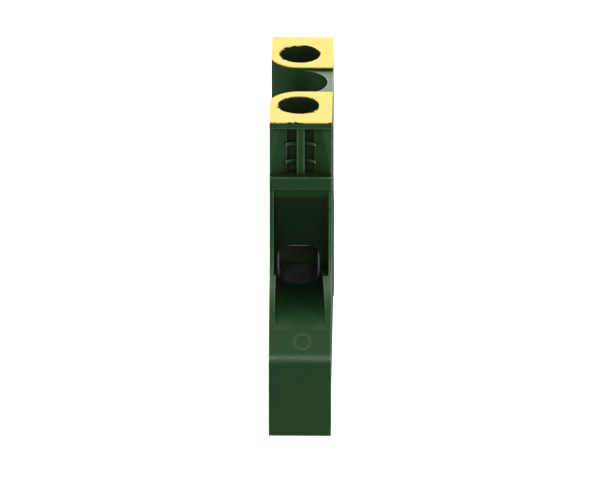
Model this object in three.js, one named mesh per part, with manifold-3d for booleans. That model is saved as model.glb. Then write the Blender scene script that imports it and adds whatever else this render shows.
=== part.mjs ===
// Earth (PE) terminal block for a 35 mm DIN rail, with a rising-yoke screw clamp at each end
// and a metal foot that a central screw clamps to the rail.
// Millimetres. X runs along the rail, Y along the conductors, Z up. The origin lies under the
// middle of the foot. The housing is closed on its +X side and open on its -X side, where the
// next block covers it. "front" is the -Y end and "rear" the +Y end.
import * as THREE from "three";
import { mergeVertices } from "three/addons/utils/BufferGeometryUtils.js";
import Module from "manifold-3d";

const wasm = await Module();
wasm.setup();

// ---- driving dimensions ----------------------------------------------------------------------

// Block and rail
const WIDTH = 8; // along the rail
const HEIGHT = 40; // foot to marking pads
const RAIL_WIDTH = 35;
const RAIL_SEAT = 5; // height of the rail's top face above the bottom of the foot
const FLANGE = 1; // thickness of the rail's flange
const RAIL_PLAY = 0.3; // rail edge to hook, and flange to hook toe

// Housing
const SIDE_WALL = 0.9; // the closed wall on the +X side
const FOOT_WALL = 1; // outside the jaw's pocket
const AXIS_SHIFT = 0.3; // the screw axes lie this far towards the open side
const CLAMP_AXIS = 7.55; // from the block's middle to each clamp screw
const DECK_MARGIN = 5.2; // deck beyond each clamp screw's axis
const DECK_STEP = 0.4; // marking pads above the middle of the deck
const SCREW_BORE = 5.2; // screwdriver holes over the clamp screws
const FIXING_BORE = 7.2; // screwdriver hole over the fixing screw
const TOWER_WALL = 1.35; // round the screwdriver holes, at the open side
const SHAFT_WALL = 0.7; // between the fixing screw's shaft and a clamp's chamber
const FRONT_WALL = 0.6; // between a clamp's chamber and its wire funnel
const FLOOR_WALL = 1; // under the wire funnel
const RELIEF_WEB = 0.8; // rib between the two reliefs in each foot
const CLEARANCE = 0.25; // round what slides in the housing
const CLOSE_GAP = 0.05; // between metal pieces that bear on each other
const THREAD_GAP = 0.1; // radial, between a screw and what it runs in
const OVERLAP = 0.2; // joined shapes run this far into each other
const GATE_DIAMETER = 1.4; // dent in the closed side where the plastic entered the mould
const GATE_DEPTH = 0.25;
const MARK_DIAMETER = 2.2; // ejector marks in the closed side
const MARK_DEPTH = 0.06;

// Marker pocket under each end of the deck, from the top down
const LIP = 0.9;
const POCKET_HEIGHT = 6.6;
const POCKET_DEPTH = 0.9;
const LEDGE_HEIGHT = 1.7;
const LEDGE_PROUD = 0.55; // beyond the deck
const BAND_HEIGHT = 1.6; // leaning face under the ledge
const RECESS_WIDTH = 3.5;
const RECESS_DEPTH = 0.95;
const SCOOP_DEPTH = 1.5; // of the pocket at its middle, below the deck's end
const RIB_WIDTH = 0.95; // upright rib in the recess
const RIB_SET_BACK = 0.45; // behind the deck's end
const BAR_RIB = 0.4; // thickness of each cross rib
const BAR_RIB_PITCH = 2.45; // from the lip to one cross rib, and to the next
const BAR_RIBS = 2;
const BAR_RIB_SET_BACK = 0.8; // cross ribs' ends
const BAR_RIB_ARCH = 0.6; // how far their front edges curve back at the middle

// Wire entry
const ENTRY_FLOOR = 16.2; // lowest point of the wire hole
const ENTRY_WIDTH = 5.4;
const ENTRY_HEIGHT = 5.7;
const ENTRY_ALCOVE = 0.05; // face round the hole, beyond the front wall
const BAND_LEAN = 0.45; // how far the face under the ledge leans inwards
const FUNNEL_LEFT = 0.55; // funnel's side walls at the mouth
const FUNNEL_RIGHT = 0.4;
const RAMP_HEIGHT = 13.8; // front edge of the funnel's floor
const SWEEP_IN = 0.4; // corner of the curve that sweeps from the ledge out to the ramp
const SWEEP_UP = 3.7;
const SLOPE_RUN = 2.9; // 45 degree slope from the ramp to the foot's front
const FOOT_ROUND = 0.75;
const RING_DIAMETER = 2.3; // plain raised ring on each slope
const RING_WIDTH = 0.3;
const RING_HEIGHT = 0.07;
const HOLE_ROUNDING = 4; // 2 is an ellipse, more is squarer
const MOUTH_ROUNDING = 14;

// Clamps
const WIRE_SPACE = 5; // yoke floor to current bar, fully open
const YOKE_WIDTH = 6.2;
const YOKE_LEG = 0.6;
const YOKE_DEPTH = 5.8; // along the conductor
const YOKE_FLOOR = 1.2;
const YOKE_NUT = 2.6; // threaded top of the yoke
const YOKE_REST_GAP = 0.2; // yoke floor to bar when closed
const YOKE_HEADROOM = 0.9; // open yoke's ceiling above the bar
const ENTRY_SILL = 0.2; // wire hole above the open yoke's floor
const GRIP_STEP = 1.2; // between the grooves
const GRIP_GROOVE = 0.3; // depth of the grooves that grip the wire
const CLAMP_THREAD = 4;
const CLAMP_HEAD = 5.4;
const CLAMP_HEAD_HEIGHT = 1.9;
const BAR_WIDTH = 4.6;
const BAR_THICKNESS = 1.5;
const BAR_OVERHANG = 2.2; // bar beyond the clamp screw's axis

// Foot
const SHEET = 1; // legs and top of the contact foot
const BASE = 1.2; // base plates and hooks
const HOOK_TOE = 1.6; // reach under the flange
const HOOK_TOE_HEIGHT = 1.4;
const EYE_RIM = 0.8; // metal round the fixing screw's holes
const TAIL = 1.2; // thickness of the jaw's tail
const TAIL_NECK = 3;
const TAIL_SIDE = 0.65; // the tail's strips beside the wedge
const TAIL_RIM = 0.9; // and at its two ends
const JAW_TRAVEL = 1.8;
const FIXING_THREAD = 3.5;
const FIXING_HEAD = 6.4;
const FIXING_HEAD_HEIGHT = 2.1;
const WEDGE_CHEEK = 0.45; // beside the wedge's thread
const WEDGE_HEIGHT = 5;
const WEDGE_LAND = 1.2; // straight part above the wedge's slope
const WEDGE_WALL = 0.7; // round the wedge's thread
const FLAT_WASHER = 0.5;
const FLAT_WASHER_DIAMETER = 6.9;
const SPRING_WASHER = 0.85;
const SPRING_CUT = 0.4; // across the spring washer's slanted cut
const SPRING_SLANT = 0.3; // and how far its cut leans over the thickness
const SLOT_WIDTH = 0.9;
const SLOT_DEPTH = 1;
const TIP_CHAMFER = 0.4; // screw tips and hook toes
const HEAD_CHAMFER = 0.35;
const HEAD_EDGE = 0.15; // under a screw's head

// ---- derived levels and positions -------------------------------------------------------------

const HALF = WIDTH / 2;
const OUTSIDE = HALF + 1; // past the open side
const INNER = HALF - SIDE_WALL; // inner face of the closed wall
const AXIS_X = -AXIS_SHIFT;
const RAIL_HALF = RAIL_WIDTH / 2;
const CHANNEL_END = RAIL_HALF + RAIL_PLAY;
const HOOK_END = CHANNEL_END + BASE;
const FOOT_END = HOOK_END + JAW_TRAVEL + CLEARANCE + FOOT_WALL;
const TOE_TOP = RAIL_SEAT - FLANGE - RAIL_PLAY;
const TOE_BOTTOM = TOE_TOP - HOOK_TOE_HEIGHT;
const DECK_END = CLAMP_AXIS + DECK_MARGIN;
const PAD_START = CLAMP_AXIS - SCREW_BORE / 2 - TOWER_WALL;
const CHAMBER_START = FIXING_BORE / 2 + SHAFT_WALL;
const CHAMBER_END = CLAMP_AXIS + YOKE_DEPTH / 2 + CLEARANCE;
const ENTRY_FACE = CHAMBER_END + FRONT_WALL;

const LIP_BOTTOM = HEIGHT - LIP;
const LEDGE_TOP = LIP_BOTTOM - POCKET_HEIGHT;
const LEDGE_BOTTOM = LEDGE_TOP - LEDGE_HEIGHT;
const BAND_BOTTOM = LEDGE_BOTTOM - BAND_HEIGHT;
const RAMP_END = FOOT_END - SLOPE_RUN;
const FLOOR_FALL = (ENTRY_FLOOR - RAMP_HEIGHT) / (RAMP_END - ENTRY_FACE); // of the funnel's floor

const YOKE_FLOOR_TOP = ENTRY_FLOOR - ENTRY_SILL;
const BAR_BOTTOM = YOKE_FLOOR_TOP + WIRE_SPACE;
const BAR_TOP = BAR_BOTTOM + BAR_THICKNESS;
const YOKE_CEILING = BAR_TOP + YOKE_HEADROOM;
const YOKE_TOP = YOKE_CEILING + YOKE_NUT;
const YOKE_TRAVEL = WIRE_SPACE - YOKE_REST_GAP;
const CLAMP_HEAD_BOTTOM = YOKE_TOP + YOKE_TRAVEL + CLEARANCE;
const CLAMP_HEAD_TOP = CLAMP_HEAD_BOTTOM + CLAMP_HEAD_HEIGHT;
const CHAMBER_TOP = CLAMP_HEAD_TOP + CLEARANCE;
const CHAMBER_FLOOR = YOKE_FLOOR_TOP - YOKE_FLOOR - CLEARANCE;

const BASE_TOP = RAIL_SEAT + BASE;
const TAIL_BOTTOM = BASE_TOP + THREAD_GAP;
const TAIL_TOP = TAIL_BOTTOM + TAIL;
const PLATEAU_TOP = BAR_BOTTOM - CLOSE_GAP;
const LEG_END = CHAMBER_START - SHAFT_WALL - CLEARANCE; // outside of the upright legs
const LEG_REACH = CHAMBER_FLOOR + LEG_END; // |y| + z on the outside of the splayed legs
const SHEET_SLANT = SHEET * Math.SQRT2;
const FIXING_HOLE = FIXING_THREAD / 2 + 2 * THREAD_GAP; // radius of the plain holes
const EYE = FIXING_HOLE + EYE_RIM; // half width of what the fixing screw clamps
const WEDGE_SIDE = FIXING_THREAD / 2 + WEDGE_CHEEK; // half its width
const WEDGE_BOTTOM = RAIL_SEAT + THREAD_GAP;
const WEDGE_TOP = WEDGE_BOTTOM + WEDGE_HEIGHT;
const WEDGE_HALF = FIXING_THREAD / 2 + WEDGE_WALL;
const WEDGE_REACH = WEDGE_HALF + WEDGE_TOP - WEDGE_LAND; // |y| + z on the wedge's slope
const FLAT_WASHER_BOTTOM = BAR_TOP + CLOSE_GAP;
const SPRING_WASHER_BOTTOM = FLAT_WASHER_BOTTOM + FLAT_WASHER + CLOSE_GAP;
const FIXING_HEAD_BOTTOM = SPRING_WASHER_BOTTOM + SPRING_WASHER + CLOSE_GAP;

const FRONT = -1;
const REAR = 1;
const ENDS = [FRONT, REAR];
const ROUND = 48; // sides of a round hole or shaft

// ---- shapes -----------------------------------------------------------------------------------

const X_AXIS = new THREE.Vector3(1, 0, 0);
const Y_AXIS = new THREE.Vector3(0, 1, 0);
const Z_AXIS = new THREE.Vector3(0, 0, 1);

function solidOf(geometry) {
  geometry.deleteAttribute("normal");
  geometry.deleteAttribute("uv");
  const merged = mergeVertices(geometry);
  return new wasm.Manifold(
    new wasm.Mesh({
      numProp: 3,
      vertProperties: merged.attributes.position.array,
      triVerts: new Uint32Array(merged.index.array),
    }),
  );
}

// A solid from an outline of [y, z] points, between two X positions.
function alongX(points, from, to) {
  const shape = new THREE.Shape(points.map(([y, z]) => new THREE.Vector2(y, z)));
  const geometry = new THREE.ExtrudeGeometry(shape, { depth: to - from, bevelEnabled: false });
  geometry.applyMatrix4(new THREE.Matrix4().makeBasis(Y_AXIS, Z_AXIS, X_AXIS));
  return solidOf(geometry.translate(from, 0, 0));
}

// A solid from a shape in the XY plane, between two heights.
function alongZ(shape, from, to) {
  const options = { depth: to - from, bevelEnabled: false, curveSegments: ROUND / 4 };
  return solidOf(new THREE.ExtrudeGeometry(shape, options).translate(0, 0, from));
}

function block([x0, x1], [y0, y1], [z0, z1]) {
  const geometry = new THREE.BoxGeometry(x1 - x0, Math.abs(y1 - y0), z1 - z0);
  return solidOf(geometry.translate((x0 + x1) / 2, (y0 + y1) / 2, (z0 + z1) / 2));
}

// An upright cylinder on one of the screw axes.
function upright(radius, y, [z0, z1], sides = ROUND) {
  const geometry = new THREE.CylinderGeometry(radius, radius, z1 - z0, sides);
  return solidOf(geometry.rotateX(Math.PI / 2).translate(AXIS_X, y, (z0 + z1) / 2));
}

// A turned solid on one of the screw axes, from [radius, z] points that start and end on the axis.
function turned(profile, y, sides = ROUND) {
  const points = profile.map(([r, z]) => new THREE.Vector2(r, z));
  const geometry = new THREE.LatheGeometry(points, sides).rotateX(Math.PI / 2);
  return solidOf(geometry.translate(AXIS_X, y, 0));
}

// A closed solid between two rings with the same number of points, given in order.
function loft(ringA, ringB) {
  const count = ringA.length;
  const middle = (ring) => ring.reduce((sum, p) => sum.add(p), new THREE.Vector3()).divideScalar(count);
  const points = [...ringA, ...ringB, middle(ringA), middle(ringB)];
  const index = [];
  for (let i = 0; i < count; i++) {
    const j = (i + 1) % count;
    index.push(i, j, count + j, i, count + j, count + i);
    index.push(2 * count, j, i);
    index.push(2 * count + 1, count + i, count + j);
  }
  const geometry = new THREE.BufferGeometry().setFromPoints(points).setIndex(index);
  return solidOf(geometry);
}

function joined(solids) {
  return solids.reduce((sum, solid) => sum.add(solid));
}

function cutFrom(solid, cuts) {
  return cuts.reduce((rest, cut) => rest.subtract(cut), solid);
}

// The same outline at the front or rear end.
function atEnd(end, points) {
  return points.map(([y, z]) => [end * y, z]);
}

// A span of Y at the front or rear end, from two distances to the middle.
function span(end, near, far) {
  return end > 0 ? [near, far] : [-far, -near];
}

// ---- housing ----------------------------------------------------------------------------------

// One end of the side outline, from the middle of the deck down to the rail's seat.
function endOutline() {
  const path = new THREE.Path();
  path.moveTo(PAD_START, HEIGHT - DECK_STEP);
  path.lineTo(PAD_START, HEIGHT);
  path.lineTo(DECK_END, HEIGHT);
  path.lineTo(DECK_END, LIP_BOTTOM);
  path.lineTo(DECK_END - POCKET_DEPTH, LIP_BOTTOM - CLEARANCE);
  path.lineTo(DECK_END, LEDGE_TOP);
  path.lineTo(DECK_END + LEDGE_PROUD, LEDGE_TOP);
  path.lineTo(DECK_END + LEDGE_PROUD, LEDGE_BOTTOM);
  path.lineTo(DECK_END, LEDGE_BOTTOM - CLEARANCE);
  path.lineTo(DECK_END, BAND_BOTTOM);
  path.quadraticCurveTo(DECK_END - SWEEP_IN, RAMP_HEIGHT + SWEEP_UP, RAMP_END, RAMP_HEIGHT);
  path.lineTo(FOOT_END - FOOT_ROUND, RAMP_HEIGHT - SLOPE_RUN + FOOT_ROUND);
  path.quadraticCurveTo(
    FOOT_END,
    RAMP_HEIGHT - SLOPE_RUN,
    FOOT_END,
    RAMP_HEIGHT - SLOPE_RUN - FOOT_ROUND,
  );
  path.lineTo(FOOT_END, 0);
  path.lineTo(CHANNEL_END, 0);
  path.lineTo(CHANNEL_END, RAIL_SEAT);
  return path.getPoints(10).map((p) => [p.x, p.y]);
}

function housingBlank() {
  const rear = endOutline();
  const front = atEnd(FRONT, rear).reverse();
  return alongX([...rear, ...front], -HALF, HALF);
}

// The deck between the pads is open to the -X side, round the two screwdriver holes' towers.
function deckChannel() {
  const gap = block([-OUTSIDE, AXIS_X], [-CLAMP_AXIS, CLAMP_AXIS], [CHAMBER_TOP + FLOOR_WALL, HEIGHT + 1]);
  const radius = SCREW_BORE / 2 + TOWER_WALL;
  const towers = ENDS.map((end) => upright(radius, end * CLAMP_AXIS, [CHAMBER_TOP, HEIGHT + 2], 64));
  return cutFrom(gap, towers);
}

function fixingShaft() {
  const half = FIXING_BORE / 2;
  return joined([
    upright(half, 0, [BAR_TOP, HEIGHT + 1], 64),
    block([-OUTSIDE, AXIS_X], [-half, half], [BAR_TOP, CHAMBER_TOP + 2 * FLOOR_WALL]),
    block([-OUTSIDE, INNER], [-half, half], [CHAMBER_FLOOR - FLOOR_WALL, BAR_TOP + CLEARANCE]),
    deckChannel(),
  ]);
}

function clampChamber(end) {
  return joined([
    block([-OUTSIDE, INNER], span(end, CHAMBER_START, CHAMBER_END), [CHAMBER_FLOOR, CHAMBER_TOP]),
    upright(SCREW_BORE / 2, end * CLAMP_AXIS, [CHAMBER_TOP - 1, HEIGHT + 1]),
  ]);
}

// The current bar drops in from the open side.
function barSlot() {
  const side = BAR_WIDTH / 2 + THREAD_GAP;
  const height = [BAR_BOTTOM - THREAD_GAP, BAR_TOP + THREAD_GAP];
  return block([-OUTSIDE, AXIS_X + side], [-CHAMBER_START - 1, CHAMBER_START + 1], height);
}

// A ring of points on a rounded rectangle seen along Y; power 2 is an ellipse, more is squarer.
function ring(y, [x0, x1], [z0, z1], power) {
  const points = [];
  for (let i = 0; i < ROUND; i++) {
    const angle = ((i + 0.5) / ROUND) * 2 * Math.PI;
    const bend = (v) => Math.sign(v) * Math.abs(v) ** (2 / power);
    const x = (x0 + x1) / 2 + (bend(Math.cos(angle)) * (x1 - x0)) / 2;
    const z = (z0 + z1) / 2 + (bend(Math.sin(angle)) * (z1 - z0)) / 2;
    points.push(new THREE.Vector3(x, y, z));
  }
  return points;
}

// The wire hole, the alcove round it and the funnel whose floor ramps out to the foot.
function wireEntry(end) {
  const holeX = [AXIS_X - ENTRY_WIDTH / 2, AXIS_X + ENTRY_WIDTH / 2];
  const holeZ = [ENTRY_FLOOR, ENTRY_FLOOR + ENTRY_HEIGHT];
  const mouthX = [-HALF + FUNNEL_LEFT, HALF - FUNNEL_RIGHT];
  const mouthZ = [RAMP_HEIGHT, BAND_BOTTOM];
  const beyondZ = [RAMP_HEIGHT - FLOOR_FALL * (FOOT_END - RAMP_END), BAND_BOTTOM];
  const rings = [
    ring(end * (CHAMBER_END - 1), holeX, holeZ, HOLE_ROUNDING),
    ring(end * ENTRY_FACE, holeX, holeZ, HOLE_ROUNDING),
    ring(end * RAMP_END, mouthX, mouthZ, MOUTH_ROUNDING),
    ring(end * FOOT_END, mouthX, beyondZ, MOUTH_ROUNDING),
  ];
  const stages = rings.slice(1).map((outer, i) => {
    return end > 0 ? loft(outer, rings[i]) : loft(rings[i], outer);
  });
  const face = ENTRY_FACE + ENTRY_ALCOVE;
  const middle = (holeZ[0] + holeZ[1]) / 2;
  const alcove = [
    [face, middle],
    [face, holeZ[1]],
    [DECK_END - BAND_LEAN, BAND_BOTTOM],
    [DECK_END, LEDGE_BOTTOM - CLEARANCE],
    [FOOT_END, LEDGE_BOTTOM - CLEARANCE],
    [FOOT_END, middle],
  ];
  return joined([...stages, alongX(atEnd(end, alcove), ...mouthX)]);
}

// The marker pocket is scooped, with an open recess at its middle behind two cross ribs.
function pocketCut(end) {
  const back = DECK_END - POCKET_DEPTH - RECESS_DEPTH;
  const outside = DECK_END + OVERLAP;
  const scoop = new THREE.Shape();
  scoop.moveTo(-HALF, end * outside);
  scoop.lineTo(-HALF, end * DECK_END);
  scoop.quadraticCurveTo(0, end * (DECK_END - 2 * SCOOP_DEPTH), HALF, end * DECK_END);
  scoop.lineTo(HALF, end * outside);
  const recess = [
    [back, LIP_BOTTOM - OVERLAP],
    [back, LEDGE_TOP],
    [outside, LEDGE_TOP],
    [outside, LIP_BOTTOM - OVERLAP],
  ];
  return joined([
    alongZ(scoop, LEDGE_TOP, LIP_BOTTOM - OVERLAP / 2),
    alongX(atEnd(end, recess), -RECESS_WIDTH / 2, RECESS_WIDTH / 2),
  ]);
}

function pocketRibs(end) {
  const back = DECK_END - POCKET_DEPTH - RECESS_DEPTH - OVERLAP;
  const front = DECK_END - RIB_SET_BACK;
  const half = RECESS_WIDTH / 2 + OVERLAP;
  const height = [LEDGE_TOP - OVERLAP, LIP_BOTTOM];
  const upright = block([-RIB_WIDTH / 2, RIB_WIDTH / 2], span(end, back, front), height);
  const crossEnd = DECK_END - BAR_RIB_SET_BACK;
  const cross = new THREE.Shape();
  cross.moveTo(-half, end * back);
  cross.lineTo(-half, end * crossEnd);
  cross.quadraticCurveTo(0, end * (crossEnd - 2 * BAR_RIB_ARCH), half, end * crossEnd);
  cross.lineTo(half, end * back);
  const ribs = [upright];
  for (let i = 1; i <= BAR_RIBS; i++) {
    const top = LIP_BOTTOM - i * BAR_RIB_PITCH;
    ribs.push(alongZ(cross, top - BAR_RIB, top));
  }
  return joined(ribs);
}

function slopeRing(end) {
  const outer = RING_DIAMETER / 2;
  const inner = outer - RING_WIDTH;
  const points = [
    [inner, -OVERLAP],
    [outer, -OVERLAP],
    [outer, RING_HEIGHT],
    [inner, RING_HEIGHT],
    [inner, -OVERLAP],
  ].map(([r, y]) => new THREE.Vector2(r, y));
  const outwards = end > 0 ? Math.PI / 4 : (3 * Math.PI) / 4;
  const geometry = new THREE.LatheGeometry(points, 40).rotateX(outwards);
  const down = SLOPE_RUN / 2 - FOOT_ROUND / 3;
  return solidOf(geometry.translate(AXIS_SHIFT, end * (RAMP_END + down), RAMP_HEIGHT - down));
}

// The foot's chamber: the contact foot's outline with clearance, and the jaw's way out.
function footChamber() {
  const half = FIXING_BORE / 2;
  const knee = LEG_REACH + CLEARANCE * Math.SQRT2;
  const splay = [
    [half, CHAMBER_FLOOR],
    [half, knee - half],
    [knee - RAIL_SEAT, RAIL_SEAT],
    [knee - RAIL_SEAT, RAIL_SEAT - 1],
  ];
  const below = RAIL_SEAT - 1;
  const toeFloor = TOE_BOTTOM - CLEARANCE;
  const jawFar = HOOK_END + JAW_TRAVEL + CLEARANCE;
  const x = [-OUTSIDE, INNER];
  return joined([
    alongX([...splay, ...atEnd(FRONT, splay).reverse()], ...x),
    block(x, [-CHANNEL_END, HOOK_END + CLEARANCE], [below, BASE_TOP + THREAD_GAP]),
    block(x, [RAIL_HALF - 1, HOOK_END + CLEARANCE], [toeFloor, BASE_TOP + THREAD_GAP]),
    block(x, [-jawFar, 0], [BASE_TOP, TAIL_TOP + CLEARANCE]),
    block(x, [-jawFar, -RAIL_HALF + 1], [toeFloor, TAIL_TOP + CLEARANCE]),
  ]);
}

// Moulding reliefs that keep the foot's walls even, open to the -X side.
function footReliefs(end) {
  const floor = TAIL_TOP + CLEARANCE + FLOOR_WALL;
  const far = FOOT_END - FLOOR_WALL;
  const near = DECK_END - SWEEP_IN;
  const split = (near + far) / 2;
  const roof = (y) => RAMP_HEIGHT + FLOOR_FALL * (RAMP_END - y) - 1.2 * FLOOR_WALL;
  const inner = [
    [near, floor],
    [split - RELIEF_WEB / 2, floor],
    [split - RELIEF_WEB / 2, roof(split)],
    [near, roof(near)],
  ];
  const outer = [
    [split + RELIEF_WEB / 2, floor],
    [far, floor],
    [far, RAMP_HEIGHT - SLOPE_RUN - CLEARANCE],
    [RAMP_END - SWEEP_IN, roof(RAMP_END)],
    [split + RELIEF_WEB / 2, roof(split)],
  ];
  const x = [-OUTSIDE, INNER - AXIS_SHIFT];
  return joined([alongX(atEnd(end, inner), ...x), alongX(atEnd(end, outer), ...x)]);
}

// Shallow round dents in the closed side: the gate in the middle and an ejector mark in each corner.
function mouldingMarks() {
  const dent = (diameter, depth, y, z) => {
    const disc = new THREE.CylinderGeometry(diameter / 2, diameter / 2, 2 * depth, ROUND);
    return solidOf(disc.rotateZ(Math.PI / 2).translate(HALF, y, z));
  };
  const low = (BASE_TOP + RAMP_HEIGHT - SLOPE_RUN) / 2;
  const marks = [dent(GATE_DIAMETER, GATE_DEPTH, 0, BAND_BOTTOM)];
  for (const end of ENDS) {
    marks.push(dent(MARK_DIAMETER, MARK_DEPTH, end * (RAMP_END - SLOPE_RUN), low));
    marks.push(dent(MARK_DIAMETER, MARK_DEPTH, end * CLAMP_AXIS, (LEDGE_TOP + LIP_BOTTOM) / 2));
  }
  return joined(marks);
}

function housing() {
  const cuts = [fixingShaft(), barSlot(), footChamber(), mouldingMarks()];
  const added = [];
  for (const end of ENDS) {
    cuts.push(clampChamber(end), wireEntry(end), pocketCut(end), footReliefs(end));
    added.push(pocketRibs(end), slopeRing(end));
  }
  return joined([cutFrom(housingBlank(), cuts), ...added]);
}

// ---- current path -----------------------------------------------------------------------------

// Grooves across the underside of the bar, over each conductor.
function gripGrooves(end) {
  return [-GRIP_STEP, 0, GRIP_STEP].map((step) => {
    const y = end * CLAMP_AXIS + step;
    const notch = [
      [y - GRIP_GROOVE, BAR_BOTTOM - GRIP_GROOVE / 2],
      [y + GRIP_GROOVE, BAR_BOTTOM - GRIP_GROOVE / 2],
      [y, BAR_BOTTOM + GRIP_GROOVE],
    ];
    return alongX(notch, -OUTSIDE, OUTSIDE);
  });
}

function currentBar() {
  const end = CLAMP_AXIS + BAR_OVERHANG;
  const x = [AXIS_X - BAR_WIDTH / 2, AXIS_X + BAR_WIDTH / 2];
  const bar = block(x, [-end, end], [BAR_BOTTOM, BAR_TOP]).add(upright(EYE, 0, [BAR_BOTTOM, BAR_TOP]));
  const hole = upright(FIXING_HOLE, 0, [BAR_BOTTOM - 1, BAR_TOP + 1]);
  const grooves = ENDS.flatMap((side) => gripGrooves(side));
  return cutFrom(bar, [hole, ...grooves]);
}

function clampYoke(end) {
  const y = span(end, CLAMP_AXIS - YOKE_DEPTH / 2, CLAMP_AXIS + YOKE_DEPTH / 2);
  const side = YOKE_WIDTH / 2;
  const inner = side - YOKE_LEG;
  const frame = block([AXIS_X - side, AXIS_X + side], y, [YOKE_FLOOR_TOP - YOKE_FLOOR, YOKE_TOP]);
  const through = [y[0] - 1, y[1] + 1];
  const window = block([AXIS_X - inner, AXIS_X + inner], through, [YOKE_FLOOR_TOP, YOKE_CEILING]);
  const thread = upright(CLAMP_THREAD / 2 + CLOSE_GAP, end * CLAMP_AXIS, [YOKE_CEILING - 1, YOKE_TOP + 1]);
  return cutFrom(frame, [window, thread]);
}

// A slotted screw: [bottom of the head, head height, head diameter, tip, thread].
function slottedScrew(y, headBottom, headHeight, headDiameter, tip, thread) {
  const top = headBottom + headHeight;
  const shank = thread / 2 - CLOSE_GAP;
  const head = headDiameter / 2;
  const body = turned(
    [
      [0, tip],
      [shank - TIP_CHAMFER, tip],
      [shank, tip + TIP_CHAMFER],
      [shank, headBottom],
      [head - HEAD_EDGE, headBottom],
      [head, headBottom + HEAD_EDGE],
      [head, top - HEAD_CHAMFER],
      [head - HEAD_CHAMFER, top],
      [0, top],
    ],
    y,
  );
  const across = [y - SLOT_WIDTH / 2, y + SLOT_WIDTH / 2];
  const slot = block([AXIS_X - headDiameter, AXIS_X + headDiameter], across, [top - SLOT_DEPTH, top + 1]);
  return body.subtract(slot);
}

function clampScrew(end) {
  return slottedScrew(
    end * CLAMP_AXIS,
    CLAMP_HEAD_BOTTOM,
    CLAMP_HEAD_HEIGHT,
    CLAMP_HEAD,
    BAR_TOP + CLOSE_GAP,
    CLAMP_THREAD,
  );
}

// ---- foot -------------------------------------------------------------------------------------

function fixingScrew() {
  return slottedScrew(
    0,
    FIXING_HEAD_BOTTOM,
    FIXING_HEAD_HEIGHT,
    FIXING_HEAD,
    WEDGE_BOTTOM + THREAD_GAP,
    FIXING_THREAD,
  );
}

function flatWasher() {
  const z = [FLAT_WASHER_BOTTOM, FLAT_WASHER_BOTTOM + FLAT_WASHER];
  const hole = upright(FIXING_THREAD / 2 + THREAD_GAP, 0, [z[0] - 1, z[1] + 1]);
  return upright(FLAT_WASHER_DIAMETER / 2, 0, z).subtract(hole);
}

// A split ring of square wire, with its cut at the open side.
function springWasher() {
  const z = [SPRING_WASHER_BOTTOM, SPRING_WASHER_BOTTOM + SPRING_WASHER];
  const hole = upright(FIXING_THREAD / 2 + THREAD_GAP, 0, [z[0] - 1, z[1] + 1]);
  const lean = SPRING_SLANT / 2;
  const half = SPRING_CUT / 2;
  const cut = [
    [-lean - half, z[0] - OVERLAP],
    [half - lean, z[0] - OVERLAP],
    [half + lean, z[1] + OVERLAP],
    [lean - half, z[1] + OVERLAP],
  ];
  return cutFrom(upright(FIXING_HEAD / 2, 0, z), [hole, alongX(cut, -OUTSIDE, AXIS_X)]);
}

// A bent strip: a top under the current bar, two splayed legs, base plates and the fixed hook.
function contactFoot() {
  const reach = LEG_REACH;
  const inner = reach - SHEET_SLANT;
  const legInside = LEG_END - SHEET;
  const outline = [
    [-LEG_END, PLATEAU_TOP],
    [-LEG_END, reach - LEG_END],
    [-(reach - BASE_TOP), BASE_TOP],
    [-RAIL_HALF + RAIL_PLAY, BASE_TOP],
    [-RAIL_HALF + RAIL_PLAY, RAIL_SEAT],
    [-(inner - RAIL_SEAT), RAIL_SEAT],
    [-legInside, inner - legInside],
    [-legInside, PLATEAU_TOP - SHEET],
    [legInside, PLATEAU_TOP - SHEET],
    [legInside, inner - legInside],
    [inner - RAIL_SEAT, RAIL_SEAT],
    [CHANNEL_END, RAIL_SEAT],
    [CHANNEL_END, TOE_TOP],
    [RAIL_HALF - HOOK_TOE, TOE_TOP],
    [RAIL_HALF - HOOK_TOE, TOE_BOTTOM + TIP_CHAMFER],
    [RAIL_HALF - HOOK_TOE + TIP_CHAMFER, TOE_BOTTOM],
    [HOOK_END, TOE_BOTTOM],
    [HOOK_END, BASE_TOP],
    [reach - BASE_TOP, BASE_TOP],
    [LEG_END, reach - LEG_END],
    [LEG_END, PLATEAU_TOP],
  ];
  const strip = alongX(outline, AXIS_X - EYE, AXIS_X + EYE);
  const hole = upright(FIXING_HOLE, 0, [PLATEAU_TOP - SHEET - 1, PLATEAU_TOP + 1]);
  const neck = TAIL_NECK / 2 + 2 * THREAD_GAP;
  const height = [BASE_TOP, TAIL_TOP + CLEARANCE];
  const window = block([AXIS_X - neck, AXIS_X + neck], [-RAIL_HALF, -WEDGE_HALF], height);
  return cutFrom(strip, [hole, window]);
}

// Runs on the fixing screw; its slope pushes the jaw along the rail's width as it rises.
function wedgeNut() {
  const outline = [
    [-WEDGE_HALF, WEDGE_BOTTOM],
    [-WEDGE_HALF, WEDGE_TOP],
    [WEDGE_HALF, WEDGE_TOP],
    [WEDGE_HALF, WEDGE_TOP - WEDGE_LAND],
    [WEDGE_REACH - WEDGE_BOTTOM, WEDGE_BOTTOM],
  ];
  const thread = upright(FIXING_THREAD / 2 + CLOSE_GAP, 0, [WEDGE_BOTTOM - 1, WEDGE_TOP + 1]);
  return alongX(outline, AXIS_X - WEDGE_SIDE, AXIS_X + WEDGE_SIDE).subtract(thread);
}

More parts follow.
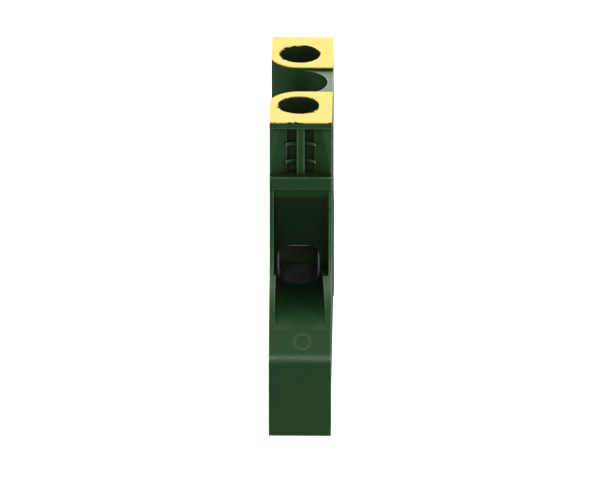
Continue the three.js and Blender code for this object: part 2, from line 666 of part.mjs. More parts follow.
// The sliding hook, drawn open. Its tail lies over the base plate and frames the wedge.
function clampJaw() {
  const shift = JAW_TRAVEL;
  const slope = WEDGE_REACH + CLOSE_GAP * Math.SQRT2;
  const tailEnd = slope - TAIL_BOTTOM + TAIL_RIM;
  const windowNear = WEDGE_HALF + JAW_TRAVEL + THREAD_GAP;
  const room = WEDGE_SIDE + CLOSE_GAP;
  const wide = room + TAIL_SIDE;
  const neck = TAIL_NECK / 2;
  const hook = [
    [-tailEnd, TAIL_TOP],
    [-tailEnd, TAIL_BOTTOM],
    [CHANNEL_END + shift, TAIL_BOTTOM],
    [CHANNEL_END + shift, TOE_TOP],
    [RAIL_HALF - HOOK_TOE + shift, TOE_TOP],
    [RAIL_HALF - HOOK_TOE + shift, TOE_BOTTOM + TIP_CHAMFER],
    [RAIL_HALF - HOOK_TOE + shift + TIP_CHAMFER, TOE_BOTTOM],
    [HOOK_END + shift, TOE_BOTTOM],
    [HOOK_END + shift, TAIL_TOP],
  ];
  const blank = alongX(atEnd(FRONT, hook), AXIS_X - wide, AXIS_X + wide);
  const widePart = windowNear + TAIL_RIM;
  const neckSpan = [-(CHANNEL_END + shift - 1), -widePart];
  const height = [TAIL_BOTTOM - 1, TAIL_TOP + 1];
  const opening = [
    [-windowNear, TAIL_BOTTOM - 0.5],
    [slope - TAIL_BOTTOM + 0.5, TAIL_BOTTOM - 0.5],
    [slope - TAIL_TOP - 0.5, TAIL_TOP + 0.5],
    [-windowNear, TAIL_TOP + 0.5],
  ];
  return cutFrom(blank, [
    block([AXIS_X - wide - 1, AXIS_X - neck], neckSpan, height),
    block([AXIS_X + neck, AXIS_X + wide + 1], neckSpan, height),
    alongX(opening, AXIS_X - room, AXIS_X + room),
  ]);
}

// ---- assembly ---------------------------------------------------------------------------------

const MATERIALS = {
  polyamide: { color: "#2c4a30", roughness: 0.5, metalness: 0 },
  copper: { color: "#c9c3b4", roughness: 0.35, metalness: 1 },
  steel: { color: "#b8bcc0", roughness: 0.3, metalness: 1 },
  spring_steel: { color: "#8f9296", roughness: 0.35, metalness: 1 },
};

function piece(name, solid, material) {
  const { vertProperties, triVerts } = solid.getMesh();
  const geometry = new THREE.BufferGeometry();
  geometry.setAttribute("position", new THREE.BufferAttribute(vertProperties, 3));
  geometry.setIndex(new THREE.BufferAttribute(triVerts, 1));
  geometry.computeVertexNormals();
  const mesh = new THREE.Mesh(geometry, new THREE.MeshStandardMaterial(MATERIALS[material]));
  mesh.name = name;
  return mesh;
}

const terminal = new THREE.Group();
terminal.add(
  piece("housing", housing(), "polyamide"),
  piece("current_bar", currentBar(), "copper"),
  piece("clamp_yoke_front", clampYoke(FRONT), "steel"),
  piece("clamp_yoke_rear", clampYoke(REAR), "steel"),
  piece("clamp_screw_front", clampScrew(FRONT), "steel"),
  piece("clamp_screw_rear", clampScrew(REAR), "steel"),
  piece("fixing_screw", fixingScrew(), "steel"),
  piece("flat_washer", flatWasher(), "steel"),
  piece("spring_washer", springWasher(), "spring_steel"),
  piece("contact_foot", contactFoot(), "copper"),
  piece("wedge_nut", wedgeNut(), "steel"),
  piece("clamp_jaw", clampJaw(), "steel"),
);

export default terminal;
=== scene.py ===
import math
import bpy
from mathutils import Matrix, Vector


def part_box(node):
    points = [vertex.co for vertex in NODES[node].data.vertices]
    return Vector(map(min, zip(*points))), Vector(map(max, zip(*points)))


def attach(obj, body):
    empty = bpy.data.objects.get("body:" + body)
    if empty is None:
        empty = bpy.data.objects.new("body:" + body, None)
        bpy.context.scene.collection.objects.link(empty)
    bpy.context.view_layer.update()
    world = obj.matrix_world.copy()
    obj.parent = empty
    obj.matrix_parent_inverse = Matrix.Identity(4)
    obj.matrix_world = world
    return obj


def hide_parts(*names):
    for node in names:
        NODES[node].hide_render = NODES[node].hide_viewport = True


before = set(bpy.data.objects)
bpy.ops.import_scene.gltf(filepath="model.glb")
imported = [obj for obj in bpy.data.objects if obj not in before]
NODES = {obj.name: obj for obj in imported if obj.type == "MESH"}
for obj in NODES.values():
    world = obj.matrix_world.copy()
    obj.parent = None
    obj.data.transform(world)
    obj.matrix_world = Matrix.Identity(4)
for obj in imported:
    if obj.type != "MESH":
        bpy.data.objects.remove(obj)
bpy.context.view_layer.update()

# Looks of the DIN rail earth terminal block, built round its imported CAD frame, in metres.
# The moulded shell, screws, spring washer and bent strips are finer copies of their CAD nodes.
from types import SimpleNamespace

import bmesh
import bpy
from mathutils import Matrix, Vector

MM = 0.001

# Camera, at the photograph's viewing angle
ELEVATION = math.radians(26.4)
AZIMUTH = math.radians(0.7)
DISTANCE = 1.4
LENS = 651
TARGET = Vector((-0.00024, 0, 0.01703))

# White table and lights
FLOOR_GLOW = 0.7  # lit from within, so that the block casts only a faint shadow
FLOOR_DROP = 0.02 * MM  # below the feet, so that their faces don't share a plane
LIGHTS_AIM = (0, 0, 0.02)
SKY_TONES = [(0.0, 0.20), (0.42, 0.26), (0.5, 0.8), (0.55, 0.8), (0.62, 0.30), (1.0, 0.15)]

# Polyamide: the pieces' own colours, with painted edge highlights and painted shade for recesses and
# funnels, linear
GREENS = [(0.3, (0.0082, 0.049, 0.0108)), (0.5, (0.0094, 0.055, 0.0125)), (0.72, (0.0108, 0.062, 0.0142))]
# Painted highlight: the colour that outward edges are lightened to
EDGE_HIGHLIGHT = (0.13, 0.25, 0.14)
SPECK = (0.04, 0.08, 0.045)
# Painted shade: the colour that the green darkens to deep in recesses
RECESS_SHADE = (0.0150, 0.0190, 0.0085)
# Painted shade: the colour deep in the wire funnels
FUNNEL_SHADE = (0.0045, 0.0100, 0.0038)
EDGE_HIGHLIGHT_REACH = 0.26 * MM
DEEP_RECESS = 18 * MM
SHEEN = 0.42
BARE_SHEEN = 0.04

# Yellow stamping on the marking pads
YELLOWS = [(0.3, (0.53, 0.375, 0.030)), (0.7, (0.61, 0.44, 0.046))]
BARE = (0.012, 0.014, 0.005)
BROWN = (0.13, 0.07, 0.012)
ORANGE = (0.60, 0.36, 0.04)
STAMP_BORE = 2.6 * MM  # radius of the screwdriver holes in the pads
NOTCH = 0.55 * MM  # depth of the ragged edge's notches
BLOTCH = 0.16 * MM  # slow wander of the edge
STAMP_OUTSET = 0.14 * MM  # the stamping runs over the bores' rims where it isn't notched
END_OUTSET = 0.06 * MM
SIDE_OUTSET = 0.15 * MM

# Metals
# Painted shade for the metals' recesses, and the reach of painted highlights on their edges
METAL_SHADE = (0.012, 0.010, 0.008)
METAL_SHINE = 0.15 * MM
METAL_RECESS = 3 * MM

# The wire funnels' inner faces get painted shade, placed from the clamp yokes that they lead to
FUNNEL_START = 0.45 * MM  # beyond the yoke
FUNNEL_DARK = 1.1 * MM  # fully dark this far beyond the start
FUNNEL_FADE = 4.5 * MM
FUNNEL_BELOW = 1.5 * MM  # below the yoke
FUNNEL_ABOVE = 3.0 * MM  # above the yoke

# Edge rounding
MOULD_EDGE = 0.16 * MM
METAL_EDGE = 0.07 * MM
YOKE_BEND = 0.35 * MM
STRIP_BEND = 0.75 * MM
FACE_REACH = 2.2 * MM  # a bend lies between two faces at least this long
SHARP = math.radians(24)
GENTLE = math.radians(0.7)
EDGE_SEGMENTS = 2
BEND_SEGMENTS = 6

# Screws
STEELS = [(0.3, (0.56, 0.57, 0.585)), (0.55, (0.62, 0.63, 0.635)), (0.75, (0.66, 0.655, 0.64))]
LATHE_STEP = 0.09 * MM
CLAMP_PITCH = 0.7 * MM
FIXING_PITCH = 0.6 * MM
THREAD_SIDES = 48
ROWS_PER_TURN = 9
THREAD_DEPTH = 0.6  # of the pitch
TIP_CHAMFER = 0.45 * MM
SLOT_WIDTH = 0.9 * MM
SLOT_DEPTH = 1.0 * MM
HEAD_CORNER = 0.28 * MM
HEAD_SIDES = 96
ARC_STEPS = 6  # in each quarter turn of a rounded rim

# Washers
WASHER_ROLL = 0.14 * MM
WASHER_CHAMFER = 0.03 * MM
SPRING_PLAY = 0.16 * MM  # between the spring washer and the screw's shank
SPRING_RISE = 0.22 * MM  # from one end of the ring to the other
SPRING_CORNER = 0.07 * MM
SPRING_GAP = math.radians(7)  # half the split
SPRING_STEPS = 72

# ---- node graphs ------------------------------------------------------------------------------


class Graph:
    """A material's node tree, with short calls for the nodes it needs."""

    def __init__(self, name):
        self.material = bpy.data.materials.new(name)
        self.material.use_nodes = True
        self.tree = self.material.node_tree
        self.tree.nodes.clear()
        self.coords = self.add("ShaderNodeTexCoord").outputs["Object"]

    def add(self, kind, feeds=None, **settings):
        node = self.tree.nodes.new(kind)
        for key, value in settings.items():
            setattr(node, key, value)
        for key, value in (feeds or {}).items():
            self.feed(node.inputs[key], value)
        return node

    def feed(self, socket, value):
        if isinstance(value, bpy.types.NodeSocket):
            self.tree.links.new(value, socket)
        else:
            socket.default_value = value

    def math(self, operation, a, b=0.0, clamp=False):
        node = self.add("ShaderNodeMath", {0: a, 1: b}, operation=operation, use_clamp=clamp)
        return node.outputs[0]

    def stretched(self, scale):
        """The object's coordinates scaled along each axis."""
        return self.add("ShaderNodeMapping", {"Vector": self.coords, "Scale": scale}).outputs[0]

    def noise(self, scale, detail=3.0, roughness=0.55, vector=None, distortion=0.0):
        feeds = {
            "Vector": vector or self.coords,
            "Scale": scale,
            "Detail": detail,
            "Roughness": roughness,
            "Distortion": distortion,
        }
        return self.add("ShaderNodeTexNoise", feeds).outputs[0]

    def ramp(self, value, stops):
        node = self.add("ShaderNodeValToRGB", {0: value})
        elements = node.color_ramp.elements
        while len(elements) < len(stops):
            elements.new(0.5)
        for element, (position, colour) in zip(elements, stops):
            element.position = position
            element.color = rgba(*colour)
        return node.outputs[0]

    def remap(self, value, low, high, to_low, to_high):
        feeds = {"Value": value, 1: low, 2: high, 3: to_low, 4: to_high}
        return self.add("ShaderNodeMapRange", feeds).outputs[0]

    def mix(self, factor, a, b):
        node = self.add("ShaderNodeMix", data_type="RGBA")
        colours = [s for s in node.inputs if s.type == "RGBA"]
        self.feed(node.inputs[0], factor)
        self.feed(colours[0], a)
        self.feed(colours[1], b)
        return [s for s in node.outputs if s.type == "RGBA"][0]

    def bump(self, height, distance, strength=1.0, normal=None):
        feeds = {"Height": height, "Distance": distance, "Strength": strength}
        if normal:
            feeds["Normal"] = normal
        return self.add("ShaderNodeBump", feeds).outputs[0]

    def shelter(self, distance, low, high, darkest, own=False):
        """1 in the open, falling to darkest deep in recesses; with own, other pieces don't count."""
        occlusion = self.add(
            "ShaderNodeAmbientOcclusion", {"Distance": distance}, samples=12, only_local=own
        )
        return self.remap(occlusion.outputs["AO"], low, high, darkest, 1.0)

    def corners(self, reach, strength):
        """Up to strength within reach of outward edges, 0 on flat faces."""
        occlusion = self.add("ShaderNodeAmbientOcclusion", {"Distance": reach}, samples=8, inside=True)
        return self.remap(occlusion.outputs["AO"], 0.58, 0.86, strength, 0.0)

    def axis(self, name):
        return self.add("ShaderNodeSeparateXYZ", {0: self.coords}).outputs[name]

    def radius(self, x, y):
        squares = self.math("ADD", self.math("MULTIPLY", x, x), self.math("MULTIPLY", y, y))
        return self.math("SQRT", squares)

    def band(self, value, low, high, fade_in, fade_out):
        """1 from low to high, fading to 0 over fade_in below and fade_out above."""
        rise = self.remap(value, low - fade_in, low, 0.0, 1.0)
        fall = self.remap(value, high, high + fade_out, 1.0, 0.0)
        return self.math("MULTIPLY", rise, fall)

    def surface(self, **feeds):
        names = {key.replace("_", " "): value for key, value in feeds.items()}
        shader = self.add("ShaderNodeBsdfPrincipled", names)
        self.add("ShaderNodeOutputMaterial", {"Surface": shader.outputs[0]})
        return self.material


def rgba(red, green, blue):
    return (red, green, blue, 1)


def stamp_mask(g):
    """Where the pads' faces are stamped, fading out raggedly at the edges, and where they stay bare."""
    low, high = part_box("housing")
    screw_low, screw_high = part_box("clamp_screw_rear")
    axis = (screw_low + screw_high) / 2
    deck_end = max(abs(v.co.y) for v in NODES["housing"].data.vertices if v.co.z > high.z - 0.01 * MM)
    x, y, z = g.axis("X"), g.axis("Y"), g.axis("Z")
    across = g.math("ABSOLUTE", y)
    ragged = g.remap(g.noise(1300, detail=5, roughness=0.75), 0.40, 0.62, 0.0, 1.0)
    wander = g.noise(420, detail=3)
    patchy = g.remap(g.noise(300, detail=2), 0.42, 0.62, 0.15, 1.0)
    notches = g.math("MULTIPLY", g.math("MULTIPLY", ragged, patchy), NOTCH)
    creep = g.math("ADD", notches, g.math("MULTIPLY", wander, BLOTCH))
    from_axis = g.radius(g.math("SUBTRACT", x, axis.x), g.math("SUBTRACT", across, axis.y))
    from_bore = g.math("SUBTRACT", from_axis, STAMP_BORE)
    from_end = g.math("SUBTRACT", deck_end + END_OUTSET, across)
    from_side = g.math("SUBTRACT", x, low.x - SIDE_OUTSET)
    nearest = g.math("MINIMUM", from_bore, g.math("MINIMUM", from_end, from_side))
    inked = g.math("SUBTRACT", nearest, g.math("SUBTRACT", creep, STAMP_OUTSET))
    stamped = g.remap(inked, -0.04 * MM, 0.06 * MM, 0.0, 1.0)
    lowest = g.math("SUBTRACT", high.z - 0.06 * MM, g.math("MULTIPLY", wander, 0.14 * MM))
    level = g.remap(g.math("SUBTRACT", z, lowest), -0.01 * MM, 0.01 * MM, 0.0, 1.0)
    bare = g.math("MULTIPLY", level, g.math("SUBTRACT", 1.0, stamped))
    return g.math("MULTIPLY", stamped, level), bare


def funnel_mask(g):
    """1 on the faces deep in the wire funnels, where shade is painted, fading out towards their mouths
    and the block's sides.
    """
    low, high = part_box("housing")
    yoke_low, yoke_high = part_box("clamp_yoke_rear")
    x, y, z = g.axis("X"), g.axis("Y"), g.axis("Z")
    start = yoke_high.y + FUNNEL_START
    inboard = g.math("MINIMUM", g.math("SUBTRACT", x, low.x), g.math("SUBTRACT", high.x, x))
    inside = g.remap(inboard, 0.2 * MM, 0.9 * MM, 0.0, 1.0)
    deep = g.band(g.math("ABSOLUTE", y), start, start + FUNNEL_DARK, 0.3 * MM, FUNNEL_FADE)
    level = g.band(z, yoke_low.z - FUNNEL_BELOW, yoke_high.z + FUNNEL_ABOVE, 0.3 * MM, 0.8 * MM)
    return g.math("MULTIPLY", inside, g.math("MULTIPLY", deep, level))


def moulded_green(g, cloud, flow, skin):
    """The plastic's colour with painted edge highlights, specks and painted shade in recesses and
    funnels, and a factor of how open each place is that dims the sheen as painted shade.
    """
    green = g.ramp(g.mix(0.45, cloud, flow), GREENS)
    # Painted highlight on outward edges, stronger where the skin noise is high
    edge_highlight = g.math("MULTIPLY", g.corners(EDGE_HIGHLIGHT_REACH, 1.0), g.remap(skin, 0.35, 0.65, 0.5, 1.0))
    green = g.mix(edge_highlight, green, rgba(*EDGE_HIGHLIGHT))
    speck = g.remap(g.noise(5200, detail=1), 0.70, 0.76, 0.0, 0.2)
    green = g.mix(speck, green, rgba(*SPECK))
    # Painted shade deep in the block's own recesses; the same factor later dims the sheen
    shelter = g.shelter(DEEP_RECESS, 0.30, 0.90, 0.06, own=True)
    green = g.mix(shelter, rgba(*RECESS_SHADE), green)
    # Painted shade deep in the wire funnels, on the colour and on the sheen
    funnel = funnel_mask(g)
    green = g.mix(g.math("MULTIPLY", funnel, 0.8), green, rgba(*FUNNEL_SHADE))
    funnel_sheen_shade = g.math("SUBTRACT", 1.0, g.math("MULTIPLY", funnel, 0.6))
    return green, g.math("MULTIPLY", shelter, funnel_sheen_shade)


def polyamide():
    g = Graph("green_polyamide")
    cloud = g.noise(160, detail=4)
    flow = g.noise(90, detail=5, roughness=0.6, vector=g.stretched((1, 0.25, 1.6)), distortion=0.6)
    grain = g.noise(9000, detail=2, roughness=0.6)
    skin = g.noise(2300, detail=3)
    green, shelter = moulded_green(g, cloud, flow, skin)
    stamped, bare = stamp_mask(g)
    tone = g.noise(700, detail=4)
    thin = g.ramp(stamped, [(0.0, BARE), (0.28, BROWN), (0.55, ORANGE), (0.8, (1, 1, 1))])
    yellow = g.mix(g.remap(stamped, 0.55, 0.8, 0.0, 1.0), thin, g.ramp(tone, YELLOWS))
    green = g.mix(bare, green, rgba(*BARE))
    colour = g.mix(g.remap(stamped, 0.0, 0.25, 0.0, 1.0), green, yellow)
    # The sheen is dimmed in recesses and funnels, as painted shade on the reflections
    sheen = g.math("MULTIPLY", shelter, g.remap(bare, 0.0, 0.5, SHEEN, BARE_SHEEN))
    satin = g.remap(skin, 0.3, 0.7, 0.34, 0.46)
    roughness = g.mix(stamped, satin, g.remap(tone, 0.3, 0.7, 0.42, 0.58))
    fine = g.bump(g.math("ADD", grain, g.math("MULTIPLY", skin, 1.6)), 0.006 * MM, 0.55)
    waves = g.bump(flow, 0.06 * MM, 0.35, fine)
    normal = g.bump(stamped, 0.01 * MM, 0.5, waves)
    return g.surface(
        Base_Color=colour, Roughness=roughness, Normal=normal, Specular_IOR_Level=sheen, IOR=1.5
    )


def plated(name, dark, light, rough, streak=(1, 1, 1), tarnish=None):
    """Plated metal: mottled plating, drawn streaks, fine scratches, painted highlights on edges and
    painted shade in corners.
    """
    g = Graph(name)
    mottle = g.noise(520, detail=5, roughness=0.62)
    streaks = g.noise(2600, detail=3, roughness=0.7, vector=g.stretched(streak))
    scratch_a = g.noise(5200, detail=1, vector=g.stretched((0.05, 1.2, 0.7)))
    scratch_b = g.noise(4300, detail=1, vector=g.stretched((0.9, 0.06, 1.1)))
    along = g.remap(scratch_a, 0.66, 0.72, 0.0, 1.0)
    scratches = g.math("MAXIMUM", along, g.remap(scratch_b, 0.68, 0.73, 0.0, 1.0))
    crystals = g.add("ShaderNodeTexVoronoi", {"Vector": g.coords, "Scale": 2400.0}).outputs["Distance"]
    colour = g.ramp(g.mix(0.4, mottle, streaks), [(0.3, dark), (0.7, light)])
    if tarnish:
        colour = g.mix(g.remap(g.noise(260, detail=4), 0.5, 0.72, 0.0, 0.55), colour, rgba(*tarnish))
    bright = tuple(min(1.0, c * 1.12) for c in light)
    # Painted highlights on outward edges and painted shade in recesses
    colour = g.mix(g.corners(METAL_SHINE, 0.7), colour, rgba(*bright))
    colour = g.mix(g.shelter(METAL_RECESS, 0.1, 0.7, 0.05), rgba(*METAL_SHADE), colour)
    roughness = g.math(
        "ADD",
        g.remap(mottle, 0.3, 0.7, rough - 0.07, rough + 0.09),
        g.math("SUBTRACT", g.math("MULTIPLY", crystals, 0.08), g.math("MULTIPLY", scratches, 0.06)),
        clamp=True,
    )
    relief = g.math("ADD", g.math("MULTIPLY", streaks, 0.8), g.math("MULTIPLY", crystals, 0.35))
    relief = g.math("SUBTRACT", relief, g.math("MULTIPLY", scratches, 0.7))
    normal = g.bump(relief, 0.003 * MM, 0.45)
    return g.surface(Base_Color=colour, Metallic=1.0, Roughness=roughness, Normal=normal)


def turned_steel():
    """Bright plated steel with the lathe's rings about the piece's own axis."""
    g = Graph("turned_steel")
    wobble = g.math("MULTIPLY", g.noise(900, detail=2), 0.03 * MM)
    wavy = g.math("ADD", g.radius(g.axis("X"), g.axis("Y")), wobble)
    rings = g.math("SINE", g.math("MULTIPLY", wavy, 2 * math.pi / LATHE_STEP))
    mottle = g.noise(620, detail=4, roughness=0.6)
    wear = g.remap(g.noise(2400, detail=3), 0.60, 0.74, 0.0, 1.0)
    colour = g.ramp(mottle, STEELS)
    colour = g.mix(g.math("MULTIPLY", wear, 0.25), colour, rgba(0.45, 0.445, 0.44))
    # Painted shade in recesses
    colour = g.mix(g.shelter(2 * MM, 0.1, 0.7, 0.25), rgba(0.03, 0.027, 0.024), colour)
    dulling = g.math("MULTIPLY", wear, 0.12)
    roughness = g.math("ADD", g.remap(mottle, 0.3, 0.7, 0.20, 0.34), dulling, clamp=True)
    relief = g.math("ADD", rings, g.math("MULTIPLY", g.noise(5200, detail=2), 0.5))
    normal = g.bump(relief, 0.002 * MM, 0.4)
    return g.surface(Base_Color=colour, Metallic=1.0, Roughness=roughness, Normal=normal)


def studio_floor():
    g = Graph("studio_floor")
    tone = g.ramp(g.noise(3, detail=2), [(0.3, (0.93, 0.93, 0.93)), (0.7, (0.95, 0.95, 0.95))])
    normal = g.bump(g.noise(700, detail=2), 0.02 * MM, 0.3)
    return g.surface(
        Base_Color=tone,
        Roughness=0.7,
        Normal=normal,
        Specular_IOR_Level=0.2,
        Emission_Color=rgba(1, 1, 1),
        Emission_Strength=FLOOR_GLOW,
    )


# ---- meshes -----------------------------------------------------------------------------------


def added(name, bm, material, origin=(0, 0, 0)):
    """A new object from bm, whose vertices are in the frame, with its own origin."""
    mesh = bpy.data.meshes.new(name)
    bm.transform(Matrix.Translation(-Vector(origin)))
    bm.to_mesh(mesh)
    bm.free()
    if material:
        mesh.materials.append(material)
    piece = bpy.data.objects.new(name, mesh)
    piece.location = origin
    bpy.context.scene.collection.objects.link(piece)
    return piece


def clean_copy(node):
    """The node's mesh with shared corners and one face for each flat region."""
    bm = bmesh.new()
    bm.from_mesh(NODES[node].data)
    bmesh.ops.remove_doubles(bm, verts=bm.verts, dist=0.002 * MM)
    bmesh.ops.dissolve_limit(
        bm, angle_limit=math.radians(0.6), verts=bm.verts, edges=bm.edges, use_dissolve_boundaries=False
    )
    return bm


def reach(face, edge):
    """How far a face extends away from one of its edges."""
    start = edge.verts[0].co
    along = (edge.verts[1].co - start).normalized()
    return max((v.co - start).cross(along).length for v in face.verts)


def round_bends(bm, direction, radius):
    """Rounds the edges along direction that lie between two long faces, as bends in a strip."""
    bends = []
    for edge in bm.edges:
        if len(edge.link_faces) != 2:
            continue
        along = (edge.verts[1].co - edge.verts[0].co).normalized()
        folded = edge.calc_face_angle(0) > SHARP
        if folded and abs(along.dot(direction)) > 0.999:
            if min(reach(face, edge) for face in edge.link_faces) > FACE_REACH:
                bends.append(edge)
    bevelled(bm, bends, radius, BEND_SEGMENTS)


def bevelled(bm, edges, width, segments):
    made = bmesh.ops.bevel(
        bm,
        geom=edges,
        offset=width,
        offset_type="OFFSET",
        segments=segments,
        profile=0.5,
        affect="EDGES",
        clamp_overlap=True,
        loop_slide=True,
    )
    return made["faces"]


def softened(bm, width):
    """Rounds every sharp edge. Flat faces keep flat shading; rounds and curved walls shade smoothly."""
    for face in bm.faces:
        angles = [edge.calc_face_angle(0) for edge in face.edges]
        face.smooth = sum(GENTLE < angle < SHARP for angle in angles) > 1
    sharp = [edge for edge in bm.edges if edge.calc_face_angle(0) > SHARP]
    for face in bevelled(bm, sharp, width, EDGE_SEGMENTS):
        face.smooth = True
    return bm


def weighted(piece):
    """Lets the large faces set the shading where rounds meet them."""
    normals = piece.modifiers.new("normals", "WEIGHTED_NORMAL")
    normals.weight = 80
    return piece


def finished(piece, body, slot, *nodes):
    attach(piece, body)
    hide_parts(*nodes)
    return piece


def moulded_shell(material):
    bm = softened(clean_copy("housing"), MOULD_EDGE)
    piece = weighted(added("moulded_shell", bm, material))
    return finished(piece, "block", "polyamide", "housing")


def strip_piece(name, node, body, slot, material, direction=None, bend=0):
    bm = clean_copy(node)
    if direction:
        round_bends(bm, Vector(direction), bend)
    piece = weighted(added(name, softened(bm, METAL_EDGE), material))
    return finished(piece, body, slot, node)


def screw_sizes(node):
    """Axis, levels and radii of a screw, read from its CAD node."""
    low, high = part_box(node)
    middle = (low + high) / 2
    axis = Vector((middle.x, middle.y, 0))
    points = [(math.hypot(v.co.x - axis.x, v.co.y - axis.y), v.co.z) for v in NODES[node].data.vertices]
    shank = max(radius for radius, z in points if z < low.z + 0.5 * MM)
    head = max(radius for radius, z in points)
    head_bottom = min(z for radius, z in points if radius > shank + 0.2 * MM)
    return SimpleNamespace(
        axis=axis, tip=low.z, head_bottom=head_bottom, top=high.z, shank=shank, head=head
    )


def ring(bm, axis, z, radii):
    count = len(radii)
    verts = []
    for i, r in enumerate(radii):
        angle = 2 * math.pi * i / count
        verts.append(bm.verts.new((axis.x + r * math.cos(angle), axis.y + r * math.sin(angle), z)))
    return verts


def walls(bm, lower_rings, upper_rings):
    for lower, upper in zip(lower_rings, upper_rings):
        count = len(lower)
        for i in range(count):
            j = (i + 1) % count
            bm.faces.new((lower[i], lower[j], upper[j], upper[i])).smooth = True


def skin(bm, rings):
    """Closes a stack of rings into a solid, with flat ends."""
    walls(bm, rings, rings[1:])
    bm.faces.new(rings[0][::-1])
    bm.faces.new(rings[-1])


def threaded_shank(bm, axis, bottom, top, major, pitch):
    """A right-hand thread with flat crests and a chamfered tip."""
    depth = THREAD_DEPTH * pitch
    rows = round((top - bottom) / pitch * ROWS_PER_TURN)
    rings = []
    for row in range(rows + 1):
        z = bottom + (top - bottom) * row / rows
        chamfer = major - TIP_CHAMFER + (z - bottom)
        runout = min(1, max(0, (top - 0.2 * MM - z) / pitch))
        radii = []
        for i in range(THREAD_SIDES):
            phase = (z / pitch - i / THREAD_SIDES) % 1
            wave = min(1, max(0, 2.6 * abs(phase - 0.5) - 0.18))
            radii.append(min(major - depth * (1 - wave) * runout, chamfer))
        rings.append(ring(bm, axis, z, radii))
    skin(bm, rings)


def arc(centre_r, centre_z, radius, start):
    """(r, z) points through a quarter turn that begins at start degrees."""
    angles = [math.radians(start + 90 / ARC_STEPS * step) for step in range(ARC_STEPS + 1)]
    return [(centre_r + radius * math.cos(a), centre_z + radius * math.sin(a)) for a in angles]


def slotted_head(axis, bottom, top, radius):
    """The screw's head with its driving slot cut and every edge rounded."""
    bm = bmesh.new()
    centre = radius - HEAD_CORNER
    profile = arc(centre, bottom + HEAD_CORNER, HEAD_CORNER, -90)
    profile += arc(centre, top - HEAD_CORNER, HEAD_CORNER, 0)
    skin(bm, [ring(bm, axis, z, [r] * HEAD_SIDES) for r, z in profile])
    head = added("head_blank", bm, None)
    cutter_bm = bmesh.new()
    size = Vector((3 * radius, SLOT_WIDTH, 2 * SLOT_DEPTH))
    place = Matrix.Translation((axis.x, axis.y, top)) @ Matrix.Diagonal((*size, 1))
    bmesh.ops.create_cube(cutter_bm, size=1, matrix=place)
    cutter = added("slot_cutter", cutter_bm, None)
    cut = head.modifiers.new("slot", "BOOLEAN")
    cut.operation = "DIFFERENCE"
    cut.solver = "EXACT"
    cut.object = cutter
    result = bmesh.new()
    result.from_mesh(head.evaluated_get(bpy.context.evaluated_depsgraph_get()).to_mesh())
    bpy.data.objects.remove(head)
    bpy.data.objects.remove(cutter)
    return softened(result, METAL_EDGE)


def screw(name, node, body, pitch, material):
    sizes = screw_sizes(node)
    bm = slotted_head(sizes.axis, sizes.head_bottom, sizes.top, sizes.head)
    threaded_shank(bm, sizes.axis, sizes.tip, sizes.head_bottom + 0.1 * MM, sizes.shank, pitch)
    piece = weighted(added(name, bm, material, origin=sizes.axis))
    return finished(piece, body, "screw_steel", node)


def helical_washer(material):
    """A split ring of square wire whose ends spring apart at the open side."""
    low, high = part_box("spring_washer")
    sizes = screw_sizes("fixing_screw")
    axis = sizes.axis
    outer = (high.y - low.y) / 2
    inner = sizes.shank + SPRING_PLAY
    wire = high.z - low.z - SPRING_RISE
    corner = SPRING_CORNER
    outline = [
        (inner + corner, 0), (outer - corner, 0), (outer, corner), (outer, wire - corner),
        (outer - corner, wire), (inner + corner, wire), (inner, wire - corner), (inner, corner),
    ]
    bm = bmesh.new()
    sections = []
    for step in range(SPRING_STEPS + 1):
        turn = math.pi + SPRING_GAP + (2 * math.pi - 2 * SPRING_GAP) * step / SPRING_STEPS
        lift = low.z + SPRING_RISE * step / SPRING_STEPS
        section = []
        for r, z in outline:
            slant = turn + 0.1 * (z / wire - 0.5)
            place = (axis.x + r * math.cos(slant), axis.y + r * math.sin(slant), lift + z)
            section.append(bm.verts.new(place))
        sections.append(section)
    skin(bm, sections)
    bmesh.ops.recalc_face_normals(bm, faces=bm.faces)
    piece = weighted(added("split_spring_washer", bm, material, origin=axis))
    return finished(piece, "block", "spring_steel", "spring_washer")


def punched_washer(material):
    """A stamped washer, with rolled rims on top and a small chamfer round the bottom ones."""
    low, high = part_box("flat_washer")
    axis = screw_sizes("fixing_screw").axis
    outer = (high.y - low.y) / 2
    inner = min(math.hypot(v.co.x - axis.x, v.co.y - axis.y) for v in NODES["flat_washer"].data.vertices)
    chamfer_top = low.z + WASHER_CHAMFER
    profile = [(inner + WASHER_CHAMFER, low.z), (outer - WASHER_CHAMFER, low.z), (outer, chamfer_top)]
    profile += arc(outer - WASHER_ROLL, high.z - WASHER_ROLL, WASHER_ROLL, 0)
    profile += arc(inner + WASHER_ROLL, high.z - WASHER_ROLL, WASHER_ROLL, 90)
    profile.append((inner, chamfer_top))
    bm = bmesh.new()
    rings = [ring(bm, axis, z, [r] * HEAD_SIDES) for r, z in profile]
    walls(bm, rings, rings[1:] + rings[:1])
    bmesh.ops.recalc_face_normals(bm, faces=bm.faces)
    piece = weighted(added("punched_washer", bm, material, origin=axis))
    return finished(piece, "block", "plated_steel", "flat_washer")


# ---- studio -----------------------------------------------------------------------------------


def aimed(place, target):
    return (Vector(target) - Vector(place)).to_track_quat("-Z", "Y").to_euler()


def camera():
    away = Vector((
        math.sin(AZIMUTH) * math.cos(ELEVATION),
        -math.cos(AZIMUTH) * math.cos(ELEVATION),
        math.sin(ELEVATION),
    ))
    data = bpy.data.cameras.new("camera")
    data.lens = LENS
    data.clip_start = 0.1
    data.clip_end = 20
    eye = bpy.data.objects.new("camera", data)
    eye.location = TARGET + DISTANCE * away
    eye.rotation_euler = aimed(eye.location, TARGET)
    bpy.context.scene.collection.objects.link(eye)
    bpy.context.scene.camera = eye


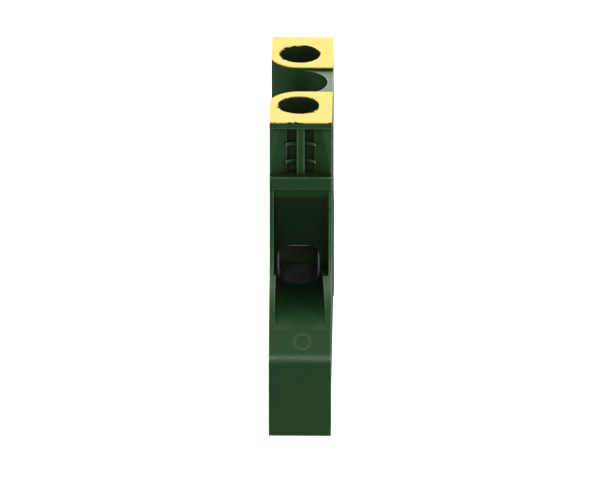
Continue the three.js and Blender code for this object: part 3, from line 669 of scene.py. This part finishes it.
def panel(name, place, size, watts):
    data = bpy.data.lights.new(name, "AREA")
    data.shape = "RECTANGLE"
    data.size, data.size_y = size
    data.energy = watts
    light = bpy.data.objects.new(name, data)
    light.location = place
    light.rotation_euler = aimed(place, LIGHTS_AIM)
    bpy.context.scene.collection.objects.link(light)


def white_table():
    bm = bmesh.new()
    bmesh.ops.create_grid(bm, x_segments=8, y_segments=8, size=4)
    floor = added("studio_floor", bm, studio_floor())
    floor.location.z = -FLOOR_DROP
    floor.visible_diffuse = False
    floor.visible_glossy = False


def sky():
    """A tent that is brightest round the horizon."""
    world = bpy.data.worlds.new("studio")
    world.use_nodes = True
    tree = world.node_tree
    direction = tree.nodes.new("ShaderNodeTexCoord").outputs["Generated"]
    height = tree.nodes.new("ShaderNodeSeparateXYZ")
    tree.links.new(direction, height.inputs[0])
    tones = tree.nodes.new("ShaderNodeValToRGB")
    stops = tones.color_ramp.elements
    while len(stops) < len(SKY_TONES):
        stops.new(0.5)
    for stop, (position, tone) in zip(stops, SKY_TONES):
        stop.position = position
        stop.color = rgba(tone, tone, tone)
    level = tree.nodes.new("ShaderNodeMapRange")
    level.inputs["From Min"].default_value = -1
    tree.links.new(height.outputs["Z"], level.inputs["Value"])
    tree.links.new(level.outputs[0], tones.inputs[0])
    tree.links.new(tones.outputs[0], tree.nodes["Background"].inputs["Color"])
    bpy.context.scene.world = world


def studio():
    white_table()
    sky()
    panel("overhead", (0, 0.55, 0.9), (1.3, 0.9), 15)
    panel("front_high", (0, -1.0, 0.68), (1.0, 0.3), 6.5)
    panel("backdrop", (0, 1.3, 0.75), (2.2, 1.2), 16)
    panel("left", (-1.1, -0.1, 0.45), (0.5, 0.6), 2)
    panel("right", (1.0, -0.5, 0.5), (0.4, 0.5), 3.5)
    bpy.context.scene.view_settings.view_transform = "Standard"
    bpy.context.scene.view_settings.look = "None"


# ---- assembly ---------------------------------------------------------------------------------


def build():
    camera()
    studio()
    copper = plated(
        "tinned_copper", (0.50, 0.48, 0.44), (0.66, 0.64, 0.59), 0.34, (0.12, 1, 1), (0.52, 0.40, 0.30)
    )
    steel = plated(
        "plated_steel", (0.46, 0.48, 0.50), (0.62, 0.63, 0.63), 0.30, (1, 0.1, 1), (0.55, 0.52, 0.42)
    )
    spring = plated("spring_steel", (0.16, 0.165, 0.18), (0.30, 0.305, 0.32), 0.36)
    turned = turned_steel()
    moulded_shell(polyamide())
    strip_piece("tinned_current_bar", "current_bar", "block", "tinned_copper", copper)
    strip_piece(
        "folded_contact_foot", "contact_foot", "block", "tinned_copper", copper, (1, 0, 0), STRIP_BEND
    )
    for end in ("front", "rear"):
        body = end + "_yoke"
        node = "clamp_yoke_" + end
        strip_piece("folded_yoke_" + end, node, body, "plated_steel", steel, (0, 1, 0), YOKE_BEND)
        screw("threaded_clamp_screw_" + end, "clamp_screw_" + end, end + "_screw", CLAMP_PITCH, turned)
    screw("threaded_fixing_screw", "fixing_screw", "rail_screw", FIXING_PITCH, turned)
    strip_piece("cast_wedge_nut", "wedge_nut", "rail_wedge", "plated_steel", steel)
    strip_piece("folded_clamp_jaw", "clamp_jaw", "rail_jaw", "plated_steel", steel, (1, 0, 0), STRIP_BEND)
    punched_washer(steel)
    helical_washer(spring)


build()
